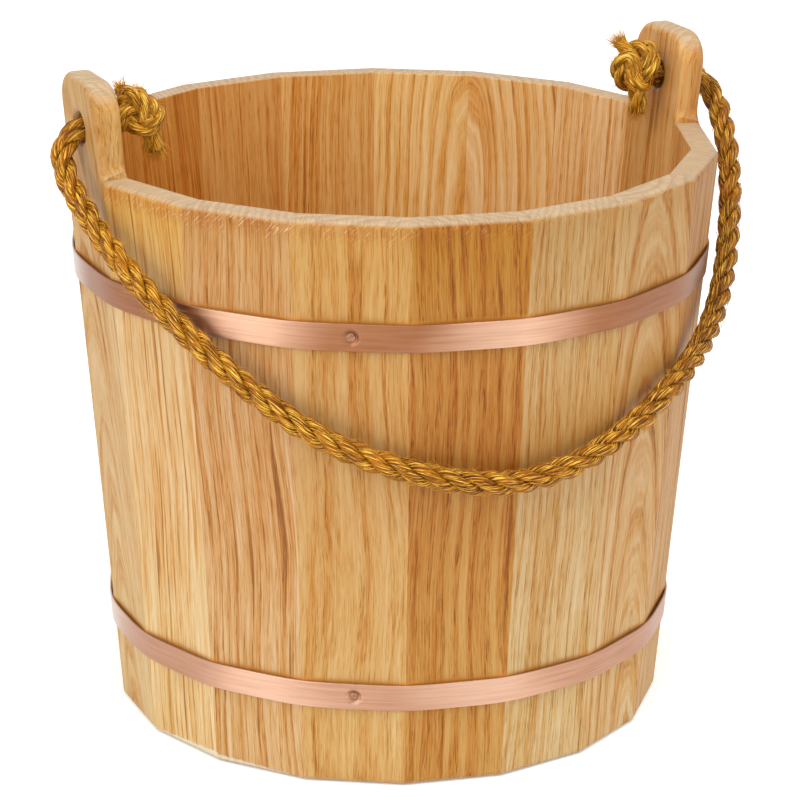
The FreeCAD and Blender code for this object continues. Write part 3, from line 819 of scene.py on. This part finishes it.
def add_strap(vertices, faces, uvs, height, angles, layer, closed):
    section = strap_section()
    count = len(section)
    start = len(vertices)
    for angle in angles:
        for out, across in section:
            depth = sunk(height, angle, across)
            vertices.append(strap_place(height, angle, out + layer * HOOP_THICKNESS - depth, across)[0])
    rings = len(angles) if closed else len(angles) - 1
    radius = corner_radius(height)
    for ring in range(rings):
        following = (ring + 1) % len(angles)
        low_u = angles[ring] * radius
        high_u = (angles[following] if following else angles[0] + 2 * math.pi) * radius
        for step in range(count):
            beside = (step + 1) % count
            faces.append((
                start + ring * count + step,
                start + following * count + step,
                start + following * count + beside,
                start + ring * count + beside,
            ))
            low_v, high_v = section[step][1], section[beside][1]
            uvs.append([(low_u, low_v), (high_u, low_v), (high_u, high_v), (low_u, high_v)])
    if not closed:
        for ring, flip in ((0, True), (len(angles) - 1, False)):
            cap = [start + ring * count + step for step in range(count)]
            cap_uvs = [(angles[ring] * radius, across) for _, across in section]
            faces.append(tuple(reversed(cap)) if flip else tuple(cap))
            uvs.append(cap_uvs[::-1] if flip else cap_uvs)


def add_hoops():
    """Both straps, each with its dished tack place and a second layer where its ends lap."""
    # Each strap has painted highlights at the listed places and a painted silvery reflection at one more
    materials = {
        "upper_hoop": copper(
            "copper_upper",
            base=0.0,
            painted_highlight=(0.72, 0.49, 0.36),
            painted_highlight_places=(0.570, 0.692, 0.09, 0.27),
            silver_reflection_place=0.428,
        ),
        "lower_hoop": copper(
            "copper_lower",
            base=0.42,
            painted_highlight=(0.72, 0.51, 0.40),
            painted_highlight_places=(0.522, 0.622, 0.10, 0.24),
            silver_reflection_place=0.388,
        ),
    }
    for name, height in HOOPS.items():
        vertices, faces, uvs = [], [], []
        angles = {math.radians(degrees) for degrees in range(360)}
        dish_steps = (step for step in range(-DISH_STEPS, DISH_STEPS + 1) if step)
        angles |= {TACK_ANGLE + math.radians(DISH_STEP_DEGREES * step) for step in dish_steps}
        add_strap(vertices, faces, uvs, height, sorted(angles), 0, True)
        half_lap = LAP_LENGTH / 2 / corner_radius(height)
        lap = [LAP_ANGLE + half_lap * (step / LAP_STEPS - 1) for step in range(2 * LAP_STEPS + 1)]
        add_strap(vertices, faces, uvs, height, lap, 1, False)
        strap = add_mesh(f"{name}_strap", vertices, faces, uvs)
        strap.data.materials.append(materials[name])
        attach(strap, "root")
        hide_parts(name)


TACK_SIDES = 24

# Half section of a tack in its dish: distance from its middle, then height over the strap, in millimetres.
# The last points are the shank's, in the wood.
TACK_PROFILE = [
    (0.0, -0.26), (0.4, -0.30), (0.75, -0.20), (1.2, -0.16), (1.7, -0.22), (2.05, -0.42), (2.15, -0.72),
    (2.0, -0.95), (0.9, -0.98), (0.9, -7.6), (0.3, -8.1), (0.0, -8.1),
]


def add_tacks(material):
    vertices, faces = [], []
    for height in HOOPS.values():
        start = len(vertices)
        flat = sunk(height, TACK_ANGLE, DISH_RADIUS)
        middle, outward = strap_place(height, TACK_ANGLE, HOOP_THICKNESS - flat, 0.0)
        side = Vector((-math.sin(TACK_ANGLE), math.cos(TACK_ANGLE), 0))
        up = outward.cross(side)
        for reach, level in TACK_PROFILE:
            for step in range(TACK_SIDES):
                turn = 2 * math.pi * step / TACK_SIDES
                rim = side * math.cos(turn) + up * math.sin(turn)
                vertices.append(middle + (rim * reach + outward * level) * MM)
        for ring in range(len(TACK_PROFILE) - 1):
            low = start + ring * TACK_SIDES
            high = low + TACK_SIDES
            for step in range(TACK_SIDES):
                beside = (step + 1) % TACK_SIDES
                faces.append((low + step, high + step, high + beside, low + beside))
    tacks = add_mesh("tacks", vertices, faces)
    weld = bmesh.new()
    weld.from_mesh(tacks.data)
    bmesh.ops.remove_doubles(weld, verts=weld.verts, dist=WELD_DISTANCE)
    bmesh.ops.recalc_face_normals(weld, faces=weld.faces)
    weld.to_mesh(tacks.data)
    weld.free()
    tacks.data.materials.append(material)
    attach(tacks, "root")
    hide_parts("hoop_tacks")


def finish_metal():
    add_hoops()
    worn = worn_copper("copper_fastener")
    add_tacks(worn)
    dress(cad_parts["hoop_rivets"], worn)


# Rope
ROPE_STEP = 0.7 * MM
STRAND_RADIUS = 2.56 * MM
STRAND_CIRCLE = 2.96 * MM
YARNS = 7
ROUGH_SIZE = 1.1 * MM
SLOW_SIZE = 9 * MM
LOOSE_FIBRES = 2000
HAIR_STEPS = 5

# Shades of the fibres, from dark to light, of the rope, of its lighter knots and of the loose ends.
# The lightest shade is also the colour of painted highlights
ROPE_SHADES = ((0.14, 0.036, 0.001), (0.52, 0.172, 0.001), (1.0, 0.62, 0.08))
KNOT_SHADES = ((0.22, 0.065, 0.002), (0.72, 0.29, 0.006), (1.0, 0.70, 0.12))
LOOSE_SHADES = ((0.48, 0.18, 0.006), (0.82, 0.36, 0.014), (1.0, 0.70, 0.12))
# Painted shade of the rope's right end
RIGHT_END_SHADE_TINT = (0.58, 0.52, 0.45)
FIBRE_RELIEF = 0.0009


def route_point(direction, distance, height):
    angle = math.radians(direction)
    return Vector((distance * math.sin(angle), -distance * math.cos(angle), height)) * MM


def spline_points(points, resolution, name):
    """Points of the smooth line that has the given ones as its control points."""
    data = bpy.data.curves.new(name, "CURVE")
    data.dimensions = "3D"
    spline = data.splines.new("NURBS")
    spline.points.add(len(points) - 1)
    for target, point in zip(spline.points, points):
        target.co = (*point, 1.0)
    spline.order_u = 3
    spline.use_endpoint_u = True
    spline.resolution_u = resolution
    line = bpy.data.objects.new(name, data)
    scene.collection.objects.link(line)
    bpy.context.view_layer.update()
    mesh = bpy.data.meshes.new_from_object(line)
    result = [vertex.co.copy() for vertex in mesh.vertices]
    bpy.data.objects.remove(line)
    bpy.data.curves.remove(data)
    bpy.data.meshes.remove(mesh)
    return result


def spaced(points, step):
    """The same line with points at even distances."""
    lengths = [0.0]
    for before, after in zip(points, points[1:]):
        lengths.append(lengths[-1] + (after - before).length)
    count = max(2, round(lengths[-1] / step) + 1)
    result = []
    piece = 0
    for index in range(count):
        wanted = lengths[-1] * index / (count - 1)
        while piece < len(points) - 2 and lengths[piece + 1] < wanted:
            piece += 1
        span = lengths[piece + 1] - lengths[piece]
        share = (wanted - lengths[piece]) / span if span > 0 else 0.0
        result.append(points[piece].lerp(points[piece + 1], share))
    return result


def carried_frames(points):
    """Two sideways vectors for each point of a line, which turn with it and don't twist."""
    tangents = []
    for index in range(len(points)):
        before = points[max(index - 1, 0)]
        after = points[min(index + 1, len(points) - 1)]
        tangents.append((after - before).normalized())
    side = tangents[0].orthogonal().normalized()
    frames = []
    for tangent in tangents:
        side = (side - tangent * side.dot(tangent)).normalized()
        frames.append((side, tangent.cross(side)))
    return frames


def add_mesh(name, vertices, faces, uvs=None):
    """Smooth-shaded object made from vertices and faces, with the UVs of each face's corners."""
    mesh = bpy.data.meshes.new(name)
    mesh.from_pydata(vertices, [], faces)
    if uvs:
        layer = mesh.uv_layers.new(name=UV_NAME)
        for polygon, corner_uvs in zip(mesh.polygons, uvs):
            for loop, uv in zip(polygon.loop_indices, corner_uvs):
                layer.data[loop].uv = uv
    mesh.polygons.foreach_set("use_smooth", [True] * len(mesh.polygons))
    mesh.update()
    result = bpy.data.objects.new(name, mesh)
    scene.collection.objects.link(result)
    return result


class Strands:
    """Collects the tubes of strands in one mesh, with the length along each and the turn round it as UVs."""

    def __init__(self):
        self.vertices = []
        self.faces = []
        self.uvs = []

    def add(self, centres, radius_at, sides, offset=0.0):
        """Tube along the centres, its radius a function of length, turn and place."""
        frames = carried_frames(centres)
        start = len(self.vertices)
        length = 0.0
        lengths = []
        for index, (centre, (side, other)) in enumerate(zip(centres, frames)):
            if index:
                length += (centre - centres[index - 1]).length
            lengths.append(length)
            for step in range(sides):
                turn = 2 * math.pi * step / sides
                outward = side * math.cos(turn) + other * math.sin(turn)
                self.vertices.append(centre + outward * radius_at(length, turn, centre, outward))
        for ring in range(len(centres) - 1):
            for step in range(sides):
                following = (step + 1) % sides
                low = start + ring * sides
                self.faces.append((low + step, low + following, low + sides + following, low + sides + step))
                low_v, high_v = step / sides, (step + 1) / sides
                low_u, high_u = offset + lengths[ring], offset + lengths[ring + 1]
                self.uvs.append([(low_u, low_v), (low_u, high_v), (high_u, high_v), (high_u, low_v)])
        for ring, flip in ((0, True), (len(centres) - 1, False)):
            cap = [start + ring * sides + step for step in range(sides)]
            self.faces.append(tuple(reversed(cap)) if flip else tuple(cap))
            self.uvs.append([(offset + lengths[ring], 0.5)] * sides)

    def build(self, name):
        return add_mesh(name, self.vertices, self.faces, self.uvs)


def strand_lines(points, strand_circle, lay, start_turn=0.0):
    """Three lines that wind round a rope's own line, right-handed."""
    frames = carried_frames(points)
    lines = []
    for strand in range(3):
        line = []
        length = 0.0
        for index, (point, (side, other)) in enumerate(zip(points, frames)):
            if index:
                length += (point - points[index - 1]).length
            turn = start_turn + 2 * math.pi * (length / lay + strand / 3)
            line.append(point + strand_circle * (side * math.cos(turn) + other * math.sin(turn)))
        lines.append(line)
    return lines


def yarn_radius(base, seed):
    """Radius of a strand whose yarns stand out a little, and whose fibres wander."""

    def radius(length, turn, place, outward):
        phase = YARNS * (turn + 2 * math.pi * length / YARN_LAY) / 2
        ridge = abs(math.cos(phase)) ** 0.7
        rough = noise.noise((place + outward * base) / ROUGH_SIZE + Vector((seed, 0, 0)))
        slow = noise.noise(place / SLOW_SIZE + Vector((0, seed, 0)))
        return base * (0.88 + 0.15 * ridge + 0.07 * rough + 0.06 * slow)

    return radius


def manila(name, shades, fibre_gap_shade, relief, right_end_shade):
    """Fibres of the rope in three shades, nearly parallel to its length, with painted highlights and shade.

    The numbers after the shades are how dark the painted shade in the gaps between the fibres is, how high
    they stand, in metres, and how much a painted shade darkens the rope towards its right end.
    """
    dark, mid, light = shades
    n = Nodes(name)
    along, around, _ = n.split(n.uv())
    turned = n.weighed(around, (along, 1 / YARN_LAY))

    def fibres(lengthways, crossways, detail):
        spread = n.joined(n.times(along, lengthways), n.times(turned, crossways))
        return n.noise(spread, 1.0, detail, 0.62)

    coarse = fibres(lengthways=80.0, crossways=15.0, detail=3.0)
    fine = fibres(lengthways=120.0, crossways=26.0, detail=2.0)
    place = n.place()
    patch = n.noise(place, 130.0)
    tone = n.mix(n.ramp(coarse, 0.40, 0.57), dark, mid)
    # Pale fibres, with painted highlights along the finest of them
    tone = n.mix(n.times(n.ramp(fine, 0.545, 0.61), 0.95), tone, light)
    # Painted shade in the gaps between the fibres
    tone = n.mix(n.times(n.ramp(fine, 0.46, 0.39), fibre_gap_shade), tone, tuple(0.3 * part for part in dark))
    tone = n.mix(n.times(n.ramp(patch, 0.5, 0.75), 0.35), tone, tuple(0.6 * part for part in mid))
    # Painted shade that darkens the rope towards its right end
    if right_end_shade:
        at_right = n.ramp(n.split(place)["X"], 0.05, 0.15)
        tone = n.tinted(tone, n.times(at_right, right_end_shade), RIGHT_END_SHADE_TINT)
    n.set("Base Color", tone)
    n.set("Roughness", 0.42)
    n.set("Specular IOR Level", 0.2)
    if relief:
        n.set("Normal", n.bump(n.plus(coarse, fine), relief))
    return n.material


def add_rope(material):
    control = [route_point(*place) for place in ROPE_ROUTE]
    line = spaced(spline_points(control, 24, "rope_line"), ROPE_STEP)
    strands = Strands()
    for number, centres in enumerate(strand_lines(line, STRAND_CIRCLE, ROPE_LAY)):
        strands.add(centres, yarn_radius(STRAND_RADIUS, 11.0 * number), sides=32)
    rope = strands.build("rope")
    rope.data.materials.append(material)
    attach(rope, "root")
    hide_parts("rope_handle")
    return rope, line


def add_rope_fibres(line, material):
    """Loose fibres that stand off the rope, most of them lying along it."""
    hairs = Hairs(41)
    for _ in range(LOOSE_FIBRES):
        spot = hairs.random.randrange(6, len(line) - 6)
        heading = (line[spot + 2] - line[spot - 2]).normalized()
        if hairs.random.random() < 0.5:
            heading = -heading
        outward = hairs.outward(heading)
        root = line[spot] + outward * ROPE_DIAMETER * hairs.random.uniform(0.40, 0.47)
        lean = (heading + outward * hairs.random.uniform(0.03, 0.32) + hairs.unit() * 0.25).normalized()
        thickness = hairs.random.uniform(0.14, 0.30) * MM
        hairs.add(root, lean, hairs.random.uniform(2.5, 7) * MM, thickness, hairs.random.uniform(0.05, 0.4))
    fibres = hairs.strands.build("rope_fibres")
    fibres.data.materials.append(material)
    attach(fibres, "root")
    return fibres


class Hairs:
    """Collects thin tapered fibres in one mesh."""

    def __init__(self, seed):
        self.strands = Strands()
        self.random = random.Random(seed)

    def unit(self):
        return Vector([self.random.gauss(0, 1) for _ in range(3)]).normalized()

    def outward(self, direction):
        """Unit vector square to a direction."""
        off = self.unit()
        return (off - direction * off.dot(direction)).normalized()

    def add(self, root, direction, length, thickness, bend):
        """One fibre from its root, bent sideways by a share of its length."""
        sideways = self.outward(direction)
        centres = []
        for step in range(HAIR_STEPS + 1):
            share = step / HAIR_STEPS
            centres.append(root + direction * (length * share) + sideways * (length * bend * share ** 2))

        def radius(along, turn, place, outward):
            return thickness / 2 * (1.15 - along / (length * (1 + bend)))

        self.strands.add(centres, radius, sides=3, offset=self.random.random())

    def brush(self, root, direction, width, length, spread, count):
        """Frayed end: fibres that fan out from a cut bundle."""
        direction = direction.normalized()
        for _ in range(count):
            off = self.unit()
            off = (off - direction * off.dot(direction)) * width / 2 * math.sqrt(self.random.random())
            outward = off / (width / 2) * spread * self.random.random()
            lean = (direction + outward + self.unit() * 0.12).normalized()
            start = root + off - direction * 2 * MM
            reach = length * self.random.uniform(0.45, 1.0)
            thickness = self.random.uniform(0.22, 0.45) * MM
            self.add(start, lean, reach, thickness, self.random.uniform(0.05, 0.4))


# Axes of the knots: each is tied in the plane of KNOT_RIGHT and KNOT_UP, and its turns cross along KNOT_FRONT
KNOT_RIGHT = Vector((0.915, -0.404, 0))
KNOT_FRONT = Vector((-0.38, -0.86, 0.33)).normalized()
KNOT_UP = KNOT_FRONT.cross(KNOT_RIGHT) * -1
KNOT_ROPE = 8.6 * MM
KNOT_CIRCLE = 0.265 * KNOT_ROPE
KNOT_STRAND_RADIUS = 0.262 * KNOT_ROPE
KNOT_LAY = 30 * MM
KNOT_STEP = 0.8 * MM
KNOT_FIBRES = 220


def knot_line(start, centre, turn, width, tail):
    """Line of an overhand knot: in from the ear, twice round, and out along its tail."""
    ring = 7.4 * MM
    swing = 4.2 * MM
    points = list(start)
    for degrees in range(15, 276, 20):
        t = math.radians(degrees)
        reach = ring + swing * math.cos(3 * t)
        angle = 2 * t + math.radians(turn)
        points.append(
            centre
            + KNOT_RIGHT * (width * reach * math.cos(angle))
            + KNOT_UP * (reach * math.sin(angle))
            + KNOT_FRONT * (swing * math.sin(3 * t))
        )
    return points + tail


def add_knot(name, node, start, centre, turn, width, tail, stubs, materials, seed):
    """Stopper knot of laid rope, with frayed ends."""
    control = knot_line(start, centre, turn, width, tail)
    line = spaced(spline_points(control, 16, f"{name}_line"), KNOT_STEP)
    strands = Strands()
    for number, centres in enumerate(strand_lines(line, KNOT_CIRCLE, KNOT_LAY, seed)):
        strands.add(centres, yarn_radius(KNOT_STRAND_RADIUS, 7.0 * number + seed), sides=20)
    hairs = Hairs(seed)
    end_direction = line[-1] - line[-6]
    hairs.brush(line[-1], end_direction, width=7.5 * MM, length=9 * MM, spread=0.7, count=150)
    for root, tip, width_of_stub in stubs:
        stub = spaced([root, root.lerp(tip, 0.5), tip], KNOT_STEP)
        strands.add(stub, yarn_radius(width_of_stub / 2, seed + 3.0), sides=18)
        hairs.brush(tip, tip - root, width_of_stub, length=7 * MM, spread=0.9, count=110)
    for _ in range(KNOT_FIBRES):
        spot = hairs.random.randrange(4, len(line) - 4)
        along = (line[spot + 2] - line[spot - 2]).normalized()
        outward = hairs.outward(along)
        root = line[spot] + outward * KNOT_ROPE * 0.47
        lean = (along + outward * hairs.random.uniform(0.15, 0.8)).normalized()
        hairs.add(root, lean, hairs.random.uniform(3, 8) * MM, thickness=0.24 * MM, bend=0.3)
    knot = strands.build(name)
    fray = hairs.strands.build(f"{name}_fibres")
    for piece, material in zip((knot, fray), materials):
        piece.data.materials.append(material)
        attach(piece, "root")
    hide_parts(node)
    return [knot, fray]


def millimetres(*places):
    return [Vector(place) * MM for place in places]


def add_knots(materials):
    right = add_knot(
        "knot_right",
        "rope_knot_right",
        start=millimetres((137.4, 0, 288.6), (134, -1, 289.5), (132.5, -3, 294)),
        centre=Vector((125.2, -7.0, 294.2)) * MM,
        turn=50,
        width=0.86,
        tail=millimetres((123.5, -12, 281.0), (124.0, -9.5, 275.0)),
        stubs=[millimetres((124, -4, 299), (117.5, -1, 307.0)) + [6.4 * MM]],
        materials=materials,
        seed=3,
    )
    left = add_knot(
        "knot_left",
        "rope_knot_left",
        start=millimetres((-137.4, 0, 288.6), (-134, -1, 290.5), (-130, -1, 296)),
        centre=Vector((-126.2, -4.0, 292.6)) * MM,
        turn=120,
        width=0.84,
        tail=millimetres((-121, -10, 283.0), (-119.5, -8.5, 278.5)),
        stubs=[
            millimetres((-127, 2, 295), (-128.5, 10, 302.5)) + [6.2 * MM],
            millimetres((-126, -4, 297), (-126.5, -2.0, 302.5)) + [6.6 * MM],
        ],
        materials=materials,
        seed=8,
    )
    return left + right


add_camera()
add_stage()
add_lamps()
rope_fibre = manila("manila", ROPE_SHADES, fibre_gap_shade=0.9, relief=FIBRE_RELIEF, right_end_shade=0.40)
knot_fibre = manila("manila_knot", KNOT_SHADES, fibre_gap_shade=0.85, relief=FIBRE_RELIEF, right_end_shade=0.0)
loose_fibre = manila("manila_loose", LOOSE_SHADES, fibre_gap_shade=0.15, relief=0.0, right_end_shade=0.0)
rope, rope_line = add_rope(rope_fibre)
rope_fibres = add_rope_fibres(rope_line, loose_fibre)
knots = add_knots((knot_fibre, loose_fibre))
finish_boards()
finish_metal()
